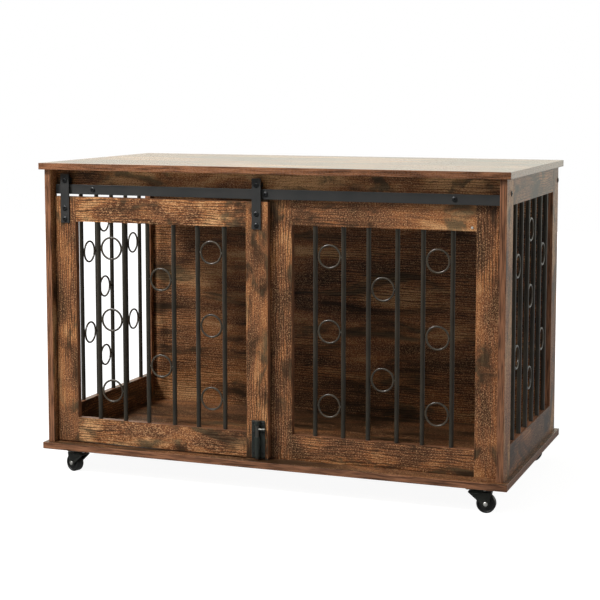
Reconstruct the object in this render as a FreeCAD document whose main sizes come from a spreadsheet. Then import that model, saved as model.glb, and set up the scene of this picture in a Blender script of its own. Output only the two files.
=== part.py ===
import FreeCAD, Part
import os
import re
import Sketcher

# A pet crate in the form of a cabinet on swivel casters. Both sides and the front have
# barred windows, and a barred door hangs from a flat track and slides sideways.
# Millimetres, +Z up, the front faces -Y, the origin is on the floor under the middle.

sizes = {
    # boards of the cabinet
    "top_length": 1100,
    "top_depth": 563,
    "board": 15,
    "overhang": 10,
    "body_height": 636,
    # frames of the two sides
    "side_top_rail": 57,
    "side_bottom_rail": 69,
    "right_stile": 59.5,
    "left_stile": 30,
    # front frame, set back behind the front edges of the sides
    "front_setback": 32.5,
    "header_height": 57,
    "fixed_stile": 56,
    "fixed_top_rail": 55.5,
    "fixed_bottom_rail": 58,
    # sliding door and the gaps round it
    "door_back_gap": 3,
    "door_floor_gap": 3,
    "door_track_gap": 5.5,
    "door_side_gap": 4.5,
    "door_overlap": 6,
    "door_stop_gap": 7,
    "door_stile": 52,
    "door_rail": 57,
    # round bars, and rings welded between them
    "bar_diameter": 10,
    "pair_bars": 65,
    "side_bar_margin": 44.25,
    "ring_diameter": 54,
    "ring_wire": 4.4,
    "ring_depth": 4.4,
    "ring_nub": 3,
    "front_ring_rise": 1.2,
    "front_middle_lift": 0,
    "front_three_margin": 67.75,
    "front_two_margin": 133.75,
    "right_ring_rise": 18,
    "right_middle_lift": 18,
    "left_ring_rise": 4,
    "left_middle_lift": 5,
    "side_three_margin": 88,
    "side_two_margin": 156,
    # flat track on spacers
    "track_height": 22,
    "track_thickness": 5,
    "track_rise": 11.5,
    "track_end_gap": 4,
    "track_bolt_inset": 100,
    "spacer_diameter": 10,
    # bolts
    "bolt_diameter": 6,
    "bolt_head": 12,
    "bolt_head_height": 2,
    "bolt_fit": 0.1,
    "bolt_bite": 12,
    "side_bolt_drop": 3.5,
    # hanger straps and grooved rollers
    "strap_width": 21.5,
    "strap_thickness": 3,
    "strap_rise": 15,
    "strap_end": 8.5,
    "strap_bolt_drop": 27,
    "strap_bolt_step": 25,
    "roller_radius": 8.7,
    "roller_flange": 11,
    "flange_thickness": 2.5,
    "roller_play": 0.4,
    "roller_strap_gap": 0.6,
    "roller_lift": 0.3,
    "axle_diameter": 6,
    "axle_nut": 10,
    "axle_nut_height": 3,
    "running_fit": 0.05,
    # floor guides in a groove under the door
    "guide_pin": 5,
    "guide_reach": 6,
    "guide_flange": 7,
    "guide_flange_height": 1.5,
    "guide_fit": 0.5,
    "guide_inset": 95,
    # bumper on the fixed panel
    "bumper_diameter": 6,
    "bumper_gap": 1,
    "bumper_inset": 9.5,
    "bumper_rise": 7.5,
    # barrel bolt on the door
    "latch_width": 32,
    "latch_height": 85,
    "latch_plate": 2,
    "latch_inset": 7,
    "latch_bolt": 9,
    "latch_wall": 1.6,
    "latch_guide_gap": 5,
    "latch_upper_guide": 10,
    "latch_guide_inset": 4,
    "latch_handle": 6,
    "latch_handle_reach": 15,
    "latch_knob": 8,
    "latch_knob_length": 4,
    "latch_lift": 3,
    "latch_throw": 9,
    "latch_tip_gap": 1.8,
    "latch_fit": 0.08,
    "strike_fit": 0.6,
    # swivel casters
    "caster_inset_left": 82,
    "caster_inset_right": 68,
    "caster_inset_front": 28,
    "caster_inset_back": 58,
    "caster_trail": 18,
    "wheel_diameter": 41,
    "wheel_width": 19,
    "wheel_shoulder": 2.5,
    "wheel_play": 0.8,
    "wheel_top_gap": 2,
    "crown_thickness": 2.5,
    "cheek_thickness": 2,
    "cheek_boss": 8,
    "crown_front": 30,
    "crown_back": 20,
    "crown_diameter": 36,
    "race_gap": 0.3,
    "race_height": 6.7,
    "race_diameter": 34,
    "race_neck": 26,
    "kingpin": 8,
    "kingpin_head": 13,
    "kingpin_head_height": 1.6,
    "caster_plate": 46,
    "caster_plate_thickness": 2.5,
    "caster_axle": 6,
    "rivet_head": 9.5,
    "rivet_head_height": 1.8,
    "front_left_angle": 160,
    "front_right_angle": 4,
    "back_left_angle": 172,
    "back_right_angle": 2,
}

# places worked out from the sizes, as formulas
places = {
    "wheel_radius": "wheel_diameter / 2",
    "crown_under": "wheel_diameter + wheel_top_gap",
    "crown_top": "crown_under + crown_thickness",
    "race_bottom": "crown_top + race_gap",
    "plate_bottom": "race_bottom + race_height",
    "base_bottom": "plate_bottom + caster_plate_thickness",
    "base_top": "base_bottom + board",
    "side_top": "base_top + body_height",
    "side_outer": "top_length / 2 - overhang",
    "side_inner": "side_outer - board",
    "side_back": "top_depth / 2 - overhang",
    "side_front": "-side_back",
    "header_front": "side_front + front_setback",
    "header_back": "header_front + board",
    "header_bottom": "side_top - header_height",
    "fixed_left": "0",
    "fixed_right": "side_inner",
    "window_left": "fixed_left + fixed_stile",
    "window_right": "fixed_right - fixed_stile",
    "window_bottom": "base_top + fixed_bottom_rail",
    "window_top": "header_bottom - fixed_top_rail",
    "front_bar_y": "header_front + board / 2",
    "side_bar_x": "side_outer - board / 2",
    "side_window_bottom": "base_top + side_bottom_rail",
    "side_window_top": "side_top - side_top_rail",
    "track_middle": "header_bottom + track_rise",
    "track_bottom": "track_middle - track_height / 2",
    "track_top": "track_middle + track_height / 2",
    "door_back": "header_front - door_back_gap",
    "door_front": "door_back - board",
    "door_middle_y": "door_back - board / 2",
    "flange_front": "door_front + roller_strap_gap",
    "track_front": "flange_front + flange_thickness + roller_play",
    "track_back": "track_front + track_thickness",
    "track_middle_y": "track_front + track_thickness / 2",
    "flange_back": "track_back + roller_play + flange_thickness",
    "door_left": "-side_inner + door_side_gap",
    "door_right": "fixed_left + door_overlap",
    "door_bottom": "base_top + door_floor_gap",
    "door_top": "track_bottom - door_track_gap",
    "door_travel": "side_inner - door_stop_gap - door_right",
    "door_window_left": "door_left + door_stile",
    "door_window_right": "door_right - door_stile",
    "door_window_bottom": "door_bottom + door_rail",
    "door_window_top": "door_top - door_rail",
    "roller_height": "track_top + roller_radius + roller_lift",
    "strap_front": "door_front - strap_thickness",
    "left_hanger": "door_left + door_stile / 2",
    "right_hanger": "door_right - door_stile / 2",
    "upper_strap_bolt": "door_top - strap_bolt_drop",
    "lower_strap_bolt": "upper_strap_bolt - strap_bolt_step",
    "bumper_height": "door_back_gap - bumper_gap",
    "latch_x": "door_right - latch_inset - latch_width / 2",
    "latch_front": "door_front - latch_plate",
    "latch_barrel": "latch_bolt / 2 + latch_fit + latch_wall",
    "latch_y": "latch_front - latch_barrel + latch_wall",
    "latch_top": "door_bottom + latch_height",
    "latch_handle_z": "latch_top - latch_upper_guide - latch_lift - latch_handle",
    "latch_lower_top": "latch_handle_z - latch_handle / 2 - latch_throw - latch_guide_gap",
    "caster_left": "caster_inset_left - top_length / 2",
    "caster_right": "top_length / 2 - caster_inset_right",
    "caster_front": "caster_inset_front - top_depth / 2",
    "caster_back": "top_depth / 2 - caster_inset_back",
    "wheel_gap": "wheel_width + 2 * wheel_play",
    "fork_width": "wheel_gap + 2 * cheek_thickness",
    "side_bolt_z": "header_bottom + header_height / 2 - side_bolt_drop",
    "header_bolt_y": "header_front + board / 2",
    "back_bolt_y": "side_back - board / 2",
    "guide_depth": "guide_reach + guide_fit",
    "guide_width": "guide_pin + 2 * guide_fit",
}

doc = FreeCAD.newDocument("pet_crate")
sheet = doc.addObject("Spreadsheet::Sheet", "Sizes")
for row, (name, value) in enumerate(sizes.items(), start=1):
    sheet.set(f"A{row}", name)
    sheet.set(f"B{row}", str(value))
    sheet.setAlias(f"B{row}", name)
doc.recompute()

sub_parts = []
turns = {
    "X": FreeCAD.Rotation(FreeCAD.Vector(0, 1, 0), 90),
    "Y": FreeCAD.Rotation(FreeCAD.Vector(1, 0, 0), -90),
    "Z": FreeCAD.Rotation(),
}
# flat sides of the round pieces; twice an odd number sets the wheel on a flat
small_sides = 12
ring_sides = 16
roller_sides = 22
wheel_sides = 30
# bars in a side window, pairs of bars in a front window
side_bars = 6
front_pairs = 3


def formula(text):
    """Writes out the names in a formula down to cells of the sheet."""
    def written_out(match):
        word = match.group()
        if word in places:
            return "(" + formula(places[word]) + ")"
        if word in sizes:
            return "Sizes." + word
        return word
    return re.sub(r"[a-z][a-z_]*", written_out, text)


def bind(piece, bindings):
    for prop, text in bindings.items():
        piece.setExpression(prop, formula(text))


def move(piece, x, y, z):
    bind(piece, {"Placement.Base.x": x, "Placement.Base.y": y, "Placement.Base.z": z})


def keep(piece, label):
    piece.Label = label
    sub_parts.append(piece)
    return piece


def block(x, y, z):
    """A block between two faces along each axis, each face a formula."""
    piece = doc.addObject("Part::Box", "block")
    bind(piece, {
        "Length": f"({x[1]}) - ({x[0]})",
        "Width": f"({y[1]}) - ({y[0]})",
        "Height": f"({z[1]}) - ({z[0]})",
    })
    move(piece, x[0], y[0], z[0])
    return piece


def rod(axis, x, y, z, diameter, length, sides=small_sides):
    """A round piece that starts at a point and runs along an axis.

    It has many flat sides, with the diameter over their corners, which keeps repeated pieces light.
    """
    piece = doc.addObject("Part::Prism", "rod")
    piece.Polygon = sides
    piece.Placement = FreeCAD.Placement(FreeCAD.Vector(), turns[axis])
    bind(piece, {"Circumradius": f"({diameter}) / 2", "Height": length})
    move(piece, x, y, z)
    return piece


def rod_over_flats(axis, x, y, z, diameter, length, sides=small_sides):
    """The same with the diameter over the flats, as for a hole that a rod of that diameter clears."""
    return rod(axis, x, y, z, f"({diameter}) / cos(180 deg / {sides})", length, sides)


def tapered(x, y, low, sides, foot, neck, height):
    """An upright round piece that narrows from its foot to its neck, both over the flats."""
    sections = []
    for z, diameter in ((low, foot), (f"{low} + {height}", neck)):
        section = doc.addObject("Part::RegularPolygon", "section")
        section.Polygon = sides
        bind(section, {"Circumradius": f"{diameter} / 2 / cos(180 deg / {sides})"})
        move(section, x, y, z)
        sections.append(section)
    piece = doc.addObject("Part::Loft", "tapered")
    piece.Sections = sections
    piece.Solid = True
    piece.Ruled = True
    return piece


def joined(pieces):
    whole = doc.addObject("Part::MultiFuse", "joined")
    whole.Shapes = pieces
    whole.Refine = True
    return whole


def grouped(pieces):
    group = doc.addObject("Part::Compound", "group")
    group.Links = pieces
    return group


def drilled(blank, tools):
    result = doc.addObject("Part::Cut", "drilled")
    result.Base = blank
    result.Tool = tools[0] if len(tools) == 1 else grouped(tools)
    return result


def outline(body, role, corners):
    """A sketch on a plane of the body: straight edges through corners given as formulas."""
    sketch = body.newObject("Sketcher::SketchObject", "outline")
    plane = [feature for feature in body.Origin.OriginFeatures if feature.Role == role][0]
    sketch.AttachmentSupport = [(plane, "")]
    sketch.MapMode = "FlatFace"
    count = len(corners)
    # rough corners on a curve, which the distances below then move to their places
    rough = [FreeCAD.Vector(corner, corner * corner, 0) for corner in range(count)]
    for edge in range(count):
        sketch.addGeometry(Part.LineSegment(rough[edge], rough[(edge + 1) % count]))
    for edge in range(count):
        sketch.addConstraint(Sketcher.Constraint("Coincident", edge, 2, (edge + 1) % count, 1))
    for edge, (across, up) in enumerate(corners):
        for kind, text in (("DistanceX", across), ("DistanceY", up)):
            number = sketch.addConstraint(Sketcher.Constraint(kind, -1, 1, edge, 1, edge + 1.0))
            bind(sketch, {f"Constraints[{number}]": text})
    return sketch


def through(body, kind, sketch, length):
    """A pad or a pocket with half its length to each side of the sketch."""
    feature = body.newObject(f"PartDesign::{kind}", kind.lower())
    feature.Profile = sketch
    feature.SideType = "Symmetric"
    bind(feature, {"Length": length})


def bolt(axis, x, y, z, outward, shank):
    """A low round head on a face and a shank into it; outward is the side the head is on."""
    along = {"X": 0, "Y": 1, "Z": 2}[axis]
    head_start = [x, y, z]
    shank_start = [x, y, z]
    if outward < 0:
        head_start[along] = f"{head_start[along]} - bolt_head_height"
    else:
        shank_start[along] = f"{shank_start[along]} - ({shank})"
    head = rod(axis, *head_start, "bolt_head", "bolt_head_height")
    return joined([head, rod(axis, *shank_start, "bolt_diameter", shank)])


def bolt_hole(axis, x, y, z, length):
    """A hole for a bolt, a little wider than its shank."""
    return rod_over_flats(axis, x, y, z, "bolt_diameter + 2 * bolt_fit", length)


def ring_rows(low, high, panel, place, count):
    """Heights of the two or three rings of one column, kept a margin from the rails."""
    margin = f"{panel}_three_margin" if count == 3 else f"{panel}_two_margin"
    rise = f"{place}_ring_rise"
    rows = [f"{high} - {margin} + {rise}", f"{low} + {margin} + {rise}"]
    middle = f"({low} + {high}) / 2 + {rise} + {place}_middle_lift"
    return rows + [middle] if count == 3 else rows


def welded_bars(label, offsets, columns, low, high):
    """Upright bars and the rings between them, welded into one piece.

    The bars stand at offsets along the panel. A column is (offset, half the distance to the
    bars beside it, ring heights). A tie across the ring, cut away inside it, reaches both bars.
    """
    pieces = [rod("Z", offset, "0", low, "bar_diameter", f"({high}) - ({low})") for offset in offsets]
    for offset, reach, heights in columns:
        for height in heights:
            disc, hole = [
                rod("Y", offset, "-ring_depth / 2", height, diameter, "ring_depth", ring_sides)
                for diameter in ("ring_diameter", "ring_diameter - 2 * ring_wire")
            ]
            tie = block(
                (f"{offset} - {reach}", f"{offset} + {reach}"),
                ("-ring_depth / 2", "ring_depth / 2"),
                (f"{height} - ring_nub / 2", f"{height} + ring_nub / 2"))
            pieces.append(drilled(joined([disc, tie]), [hole]))
    return keep(joined(pieces) if len(pieces) > 1 else grouped(pieces), label)


def front_bars(label, left, right, y, low, high):
    """Three welded pairs in a front window, with equal gaps between them and the stiles."""
    half = "pair_bars / 2"
    pair_width = "(pair_bars + bar_diameter)"
    gap = f"({right} - ({left}) - {front_pairs} * {pair_width}) / {front_pairs + 1}"
    pitch = f"({pair_width} + {gap})"
    for number, (steps, count) in enumerate(((-1, 3), (0, 2), (1, 3)), start=1):
        rows = ring_rows("window_bottom", "window_top", "front", "front", count)
        pair = welded_bars(f"{label}_{number}", [f"-{half}", half], [("0", half, rows)], low, high)
        move(pair, f"({left} + {right}) / 2 + {steps} * {pitch}", y, "0")


def make_boards():
    across = ("-top_length / 2", "top_length / 2")
    deep = ("-top_depth / 2", "top_depth / 2")
    keep(block(across, deep, ("side_top", "side_top + board")), "top_board")
    base = block(across, deep, ("base_bottom", "base_top"))
    strike_width = "latch_bolt + 2 * strike_fit"
    strikes = [
        rod_over_flats("Z", x, "latch_y", "base_top - latch_throw", strike_width, "latch_throw")
        for x in ("latch_x", "latch_x + door_travel")
    ]
    keep(drilled(base, strikes), "base_board")

    between = ("-side_inner", "side_inner")
    header = block(between, ("header_front", "header_back"), ("header_bottom", "side_top"))
    track_holes = [
        bolt_hole("Y", x, "header_front", "track_middle", "bolt_bite")
        for x in track_bolt_places()
    ]
    keep(drilled(header, track_holes + end_holes("header_bolt_y")), "header_rail")
    back = block(between, ("side_back - board", "side_back"), ("base_top", "side_top"))
    keep(drilled(back, end_holes("back_bolt_y")), "back_panel")

    bolts = []
    for y in ("header_bolt_y", "back_bolt_y"):
        bolts.append(bolt("X", "-side_outer", y, "side_bolt_z", -1, "board + bolt_bite"))
        bolts.append(bolt("X", "side_outer", y, "side_bolt_z", 1, "board + bolt_bite"))
    keep(grouped(bolts), "side_bolts")


def end_holes(y):
    """Holes for the side bolts in the two ends of a board."""
    return [
        bolt_hole("X", "-side_inner", y, "side_bolt_z", "bolt_bite"),
        bolt_hole("X", "side_inner - bolt_bite", y, "side_bolt_z", "bolt_bite"),
    ]


def make_side(side, x, stile):
    """Two stiles and two rails; the bolts of the header and the back panel pass through them."""
    front = ("side_front", f"side_front + {stile}")
    back = (f"side_back - {stile}", "side_back")
    tall = ("base_top", "side_top")
    between = (front[1], back[0])
    for name, y, z in (("front_stile", front, tall), ("back_stile", back, tall),
                       ("top_rail", between, ("side_window_top", "side_top"))):
        holes = [
            bolt_hole("X", x[0], hole_y, "side_bolt_z", "board")
            for hole_y in ("header_bolt_y", "back_bolt_y")
        ]
        keep(drilled(block(x, y, z), holes), f"{side}_side_{name}")
    keep(block(x, between, ("base_top", "side_window_bottom")), f"{side}_side_bottom_rail")


def make_side_bars(side, x, stile, groups):
    """Six bars, evenly spaced, in welded groups of (bars, spaces with rings and how many rings)."""
    low, high = "side_window_bottom", "side_window_top"
    window = f"(2 * side_back - 2 * {stile})"
    pitch = f"(({window} - 2 * side_bar_margin - bar_diameter) / {side_bars - 1})"
    for number, (bars, spaces) in enumerate(groups, start=1):
        offsets = [f"({bar} - {(side_bars + 1) / 2}) * {pitch}" for bar in bars]
        columns = []
        for space, count in spaces:
            rows = ring_rows(low, high, "side", side, count)
            columns.append((f"({space} - {side_bars / 2}) * {pitch}", f"{pitch} / 2", rows))
        group = welded_bars(f"{side}_side_bars_{number}", offsets, columns, low, high)
        quarter_turn = FreeCAD.Rotation(FreeCAD.Vector(0, 0, 1), 90)
        group.Placement = FreeCAD.Placement(FreeCAD.Vector(), quarter_turn)
        move(group, x, "0", "0")


def make_fixed_panel():
    y = ("header_front", "header_back")
    tall = ("base_top", "header_bottom")
    keep(block(("fixed_left", "window_left"), y, tall), "fixed_panel_left_stile")
    keep(block(("window_right", "fixed_right"), y, tall), "fixed_panel_right_stile")
    between = ("window_left", "window_right")
    keep(block(between, y, ("window_top", "header_bottom")), "fixed_panel_top_rail")
    keep(block(between, y, ("base_top", "window_bottom")), "fixed_panel_bottom_rail")
    front_bars("fixed_panel_bars", *between, "front_bar_y", "window_bottom", "window_top")
    bumper = rod("Y", "window_right - bumper_inset", "header_front - bumper_height",
                 "window_top + bumper_rise", "bumper_diameter", "bumper_height")
    keep(bumper, "door_bumper")


def make_door():
    y = ("door_front", "door_back")
    tall = ("door_bottom", "door_top")
    groove_y = ("door_middle_y - guide_width / 2", "door_middle_y + guide_width / 2")
    groove_z = ("door_bottom", "door_bottom + guide_depth")
    for side, x in (("left", ("door_left", "door_window_left")),
                    ("right", ("door_window_right", "door_right"))):
        holes = [
            bolt_hole("Y", f"{side}_hanger", "door_front", z, "bolt_bite")
            for z in ("upper_strap_bolt", "lower_strap_bolt")
        ]
        groove = block(x, groove_y, groove_z)
        keep(drilled(block(x, y, tall), holes + [groove]), f"door_{side}_stile")
    between = ("door_window_left", "door_window_right")
    keep(block(between, y, ("door_window_top", "door_top")), "door_top_rail")
    bottom = block(between, y, ("door_bottom", "door_window_bottom"))
    keep(drilled(bottom, [block(between, groove_y, groove_z)]), "door_bottom_rail")
    front_bars("door_bars", *between, "door_middle_y", "door_window_bottom", "door_window_top")


def track_bolt_places():
    return ("-side_inner + track_bolt_inset", "0", "side_inner - track_bolt_inset")


def make_track():
    x = ("-side_inner + track_end_gap", "side_inner - track_end_gap")
    bar = block(x, ("track_front", "track_back"), ("track_bottom", "track_top"))
    holes = [
        bolt_hole("Y", place, "track_front", "track_middle", "track_thickness")
        for place in track_bolt_places()
    ]
    keep(drilled(bar, holes), "door_track")
    spacers = []
    bolts = []
    length = "header_front - track_back"
    for place in track_bolt_places():
        sleeve = rod("Y", place, "track_back", "track_middle", "spacer_diameter", length)
        spacers.append(drilled(sleeve, [bolt_hole("Y", place, "track_back", "track_middle", length)]))
        shank = "header_front + bolt_bite - track_front"
        bolts.append(bolt("Y", place, "track_front", "track_middle", -1, shank))
    keep(grouped(spacers), "track_spacers")
    keep(grouped(bolts), "track_bolts")


def make_hangers():
    """A strap on the door, with a grooved roller behind its upper end."""
    bolts = []
    axles = []
    for side in ("left", "right"):
        x = f"{side}_hanger"
        strap = block(
            (f"{x} - strap_width / 2", f"{x} + strap_width / 2"),
            ("strap_front", "door_front"),
            ("lower_strap_bolt - strap_end", "roller_height + strap_rise"))
        holes = [
            bolt_hole("Y", x, "strap_front", z, "strap_thickness")
            for z in ("upper_strap_bolt", "lower_strap_bolt")
        ]
        axle_hole = rod_over_flats(
            "Y", x, "strap_front", "roller_height", "axle_diameter + 2 * bolt_fit", "strap_thickness")
        keep(drilled(strap, holes + [axle_hole]), f"hanger_{side}")
        for z in ("upper_strap_bolt", "lower_strap_bolt"):
            bolts.append(bolt("Y", x, "strap_front", z, -1, "strap_thickness + bolt_bite"))

        nut_start = "flange_back + roller_play"
        axles.append(joined([
            rod("Y", x, "strap_front - bolt_head_height", "roller_height", "bolt_head", "bolt_head_height"),
            rod("Y", x, "strap_front", "roller_height", "axle_diameter", f"{nut_start} - strap_front"),
            rod("Y", x, nut_start, "roller_height", "axle_nut", "axle_nut_height"),
        ]))

        body_length = "flange_back - flange_front"
        roller = joined([
            rod_over_flats("Y", x, "flange_front", "roller_height",
                           "2 * roller_radius", body_length, roller_sides),
            rod("Y", x, "flange_front", "roller_height",
                "2 * roller_flange", "flange_thickness", roller_sides),
            rod("Y", x, "flange_back - flange_thickness", "roller_height",
                "2 * roller_flange", "flange_thickness", roller_sides),
        ])
        bore = rod_over_flats("Y", x, "flange_front", "roller_height",
                              "axle_diameter + 2 * running_fit", body_length)
        keep(drilled(roller, [bore]), f"roller_{side}")
    keep(grouped(bolts), "hanger_bolts")
    keep(grouped(axles), "roller_axles")


def make_floor_guides():
    """Pins on the base that run in the groove under the door."""
    pins = []
    for x in ("door_left + guide_inset", "(door_right + door_left + door_travel) / 2"):
        foot = rod("Z", x, "door_middle_y", "base_top", "guide_flange", "guide_flange_height")
        pin = rod("Z", x, "door_middle_y", "base_top", "guide_pin", "door_floor_gap + guide_reach")
        pins.append(joined([foot, pin]))
    keep(grouped(pins), "floor_guides")


def make_latch():
    """A barrel bolt: a plate with two guides, and a bolt with a handle to one side."""
    lower = ("door_bottom + latch_guide_inset", "latch_lower_top")
    upper = ("latch_top - latch_upper_guide", "latch_top")
    plate_x = ("latch_x - latch_width / 2", "latch_x + latch_width / 2")
    pieces = [block(plate_x, ("latch_front", "door_front"), ("door_bottom", "latch_top"))]
    guide_x = ("latch_x - latch_barrel", "latch_x + latch_barrel")
    for low, high in (lower, upper):
        pieces.append(block(guide_x, ("latch_y", "latch_front"), (low, high)))
        pieces.append(rod("Z", "latch_x", "latch_y", low, "2 * latch_barrel", f"{high} - ({low})"))
    bore = rod_over_flats("Z", "latch_x", "latch_y", "door_bottom",
                          "latch_bolt + 2 * latch_fit", "latch_height")
    keep(drilled(joined(pieces), [bore]), "latch_plate")

    tip = "base_top + latch_tip_gap"
    shaft = rod("Z", "latch_x", "latch_y", tip, "latch_bolt", f"latch_top - latch_lift - ({tip})")
    handle = rod("X", "latch_x", "latch_y", "latch_handle_z", "latch_handle", "latch_handle_reach")
    knob = rod("X", "latch_x + latch_handle_reach", "latch_y", "latch_handle_z",
               "latch_knob", "latch_knob_length")
    keep(joined([shaft, handle, knob]), "latch_bolt")


def make_caster_plates():
    """A square plate under each corner of the base, with the swivel race and its pin."""
    plates = []
    for x in ("caster_left", "caster_right"):
        for y in ("caster_front", "caster_back"):
            plate = block(
                (f"{x} - caster_plate / 2", f"{x} + caster_plate / 2"),
                (f"{y} - caster_plate / 2", f"{y} + caster_plate / 2"),
                ("plate_bottom", "base_bottom"))
            race = tapered(x, y, "race_bottom", roller_sides, "race_diameter", "race_neck", "race_height")
            pin_low = "crown_under - race_gap"
            pin = rod("Z", x, y, pin_low, "kingpin", f"plate_bottom - ({pin_low})")
            head = rod("Z", x, y, f"{pin_low} - kingpin_head_height", "kingpin_head", "kingpin_head_height")
            plates.append(joined([plate, race, pin, head]))
    keep(grouped(plates), "caster_plates")


def make_fork():
    """A pressed fork: two tapered cheeks with rounded ends, under a round crown."""
    body = doc.addObject("PartDesign::Body", "fork")
    cheek = outline(body, "XZ_Plane", [
        ("-crown_back", "crown_top"),
        ("caster_trail - cheek_boss", "wheel_radius"),
        ("caster_trail - cheek_boss / 2", "wheel_radius - cheek_boss * cos(30 deg)"),
        ("caster_trail + cheek_boss / 2", "wheel_radius - cheek_boss * cos(30 deg)"),
        ("caster_trail + cheek_boss", "wheel_radius"),
        ("crown_front", "crown_top"),
    ])
    through(body, "Pad", cheek, "fork_width")
    room = outline(body, "XZ_Plane", [
        ("-caster_trail - wheel_diameter", "-wheel_top_gap"),
        ("caster_trail + wheel_diameter", "-wheel_top_gap"),
        ("caster_trail + wheel_diameter", "crown_under"),
        ("-caster_trail - wheel_diameter", "crown_under"),
    ])
    through(body, "Pocket", room, "wheel_gap")
    crown = rod("Z", "0", "0", "crown_under", "crown_diameter", "crown_thickness", roller_sides)
    pin_hole = rod_over_flats("Z", "0", "0", "crown_under", "kingpin + 2 * running_fit", "crown_thickness")
    axle_hole = rod_over_flats("Y", "caster_trail", "-fork_width / 2", "wheel_radius",
                               "caster_axle + 2 * bolt_fit", "fork_width")
    return drilled(joined([body, crown]), [pin_hole, axle_hole])


def make_axle():
    """A rivet through both cheeks."""
    half = "fork_width / 2"
    return joined([
        rod("Y", "caster_trail", f"-{half} - rivet_head_height", "wheel_radius",
            "rivet_head", "rivet_head_height"),
        rod("Y", "caster_trail", f"-{half}", "wheel_radius", "caster_axle", "fork_width"),
        rod("Y", "caster_trail", half, "wheel_radius", "rivet_head", "rivet_head_height"),
    ])


def make_wheel():
    """A tread on a core that is a little narrower across and stands out at both sides."""
    core_start = "-wheel_width / 2"
    tread_start = "wheel_shoulder - wheel_width / 2"
    core = rod_over_flats("Y", "caster_trail", core_start, "wheel_radius",
                          "wheel_diameter - 2 * wheel_shoulder", "wheel_width", wheel_sides)
    tread = rod_over_flats("Y", "caster_trail", tread_start, "wheel_radius",
                           "wheel_diameter", "wheel_width - 2 * wheel_shoulder", wheel_sides)
    bore = rod_over_flats("Y", "caster_trail", core_start, "wheel_radius",
                          "caster_axle + 2 * running_fit", "wheel_width")
    return drilled(joined([core, tread]), [bore])


def make_casters():
    """Each caster is made about its own pivot, then turned to its heading and set under a corner."""
    heading = FreeCAD.Rotation(FreeCAD.Vector(0, 0, 1), 1)
    for x_side in ("left", "right"):
        for y_side in ("front", "back"):
            for kind, piece in (("fork", make_fork()), ("axle", make_axle()), ("wheel", make_wheel())):
                piece.Placement = FreeCAD.Placement(FreeCAD.Vector(), heading)
                bind(piece, {"Placement.Rotation.Angle": f"{y_side}_{x_side}_angle"})
                move(piece, f"caster_{x_side}", f"caster_{y_side}", "0")
                keep(piece, f"caster_{y_side}_{x_side}_{kind}")


def check_and_write():
    """Refuses a failed or broken piece, then writes each sub-part to its own file."""
    for piece in doc.Objects:
        if "Invalid" in piece.State or "Error" in piece.State:
            raise RuntimeError(f"{piece.Label} failed: {piece.State}")
    for piece in sub_parts:
        if piece.Shape.isNull() or not piece.Shape.isValid() or not piece.Shape.Solids:
            raise RuntimeError(f"{piece.Label} has no sound solid")
    os.makedirs("parts", exist_ok=True)
    for piece in sub_parts:
        piece.Shape.exportStep(f"parts/{piece.Label}.step")
    print(f"{len(sub_parts)} sub-parts written")


make_boards()
make_side("left", ("-side_outer", "-side_inner"), "left_stile")
make_side("right", ("side_inner", "side_outer"), "right_stile")
make_side_bars("left", "-side_bar_x", "left_stile",
               [((1,), ()), ((2, 3, 4), ((2, 2), (3, 3))), ((5, 6), ((5, 2),))])
make_side_bars("right", "side_bar_x", "right_stile",
               [((1, 2), ((1, 2),)), ((3, 4), ((3, 3),)), ((5, 6), ((5, 2),))])
make_fixed_panel()
make_door()
make_track()
make_hangers()
make_floor_guides()
make_latch()
make_caster_plates()
make_casters()
doc.recompute()
check_and_write()
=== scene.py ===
import math

import bmesh
import bpy
import numpy as np
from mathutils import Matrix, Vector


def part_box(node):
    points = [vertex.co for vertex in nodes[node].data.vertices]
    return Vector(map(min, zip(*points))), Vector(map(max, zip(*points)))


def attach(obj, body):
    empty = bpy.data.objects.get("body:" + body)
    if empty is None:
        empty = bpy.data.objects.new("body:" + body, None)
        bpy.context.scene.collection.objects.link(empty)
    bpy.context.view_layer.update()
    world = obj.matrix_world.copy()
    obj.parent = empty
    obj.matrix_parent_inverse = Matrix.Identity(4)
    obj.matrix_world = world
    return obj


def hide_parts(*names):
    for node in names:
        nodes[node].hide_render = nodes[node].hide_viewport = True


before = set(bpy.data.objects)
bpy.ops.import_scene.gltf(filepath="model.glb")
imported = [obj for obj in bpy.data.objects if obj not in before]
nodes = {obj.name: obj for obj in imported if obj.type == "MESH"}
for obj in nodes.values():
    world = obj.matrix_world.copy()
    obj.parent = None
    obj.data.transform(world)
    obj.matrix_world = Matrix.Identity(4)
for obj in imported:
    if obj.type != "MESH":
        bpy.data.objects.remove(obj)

scene = bpy.context.scene
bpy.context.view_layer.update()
print("frame:", len(nodes), "solids")

mm = 0.001
axisX, axisY, axisZ = np.eye(3)


def cornersOf(node):  # lowest and highest corner of a solid's box
    return [np.array(corner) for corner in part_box(node)]


def middleOf(node):
    return np.mean(cornersOf(node), axis=0)


# Surfaces: every one is a grid of points, rows along the profile and columns once around.

def turnedSurface(profile, centre, axis, side, sides=48):
    # point = centre + axis * along + radius * (side * cos u + up * sin u), profile rows are (along, radius)
    along, radius = np.asarray(profile, float).T[:, :, None, None]
    u = np.linspace(0, 2 * np.pi, sides, endpoint=False)[None, :, None]
    return centre + axis * along + radius * (side * np.cos(u) + np.cross(axis, side) * np.sin(u))


def mirrored(half, width=0.0):
    # profile rows, then the same rows backwards from the other end: along becomes width - along
    half = np.asarray(half, float)
    return np.concatenate([half, half[::-1] * (-1, 1) + (width, 0)])


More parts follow.
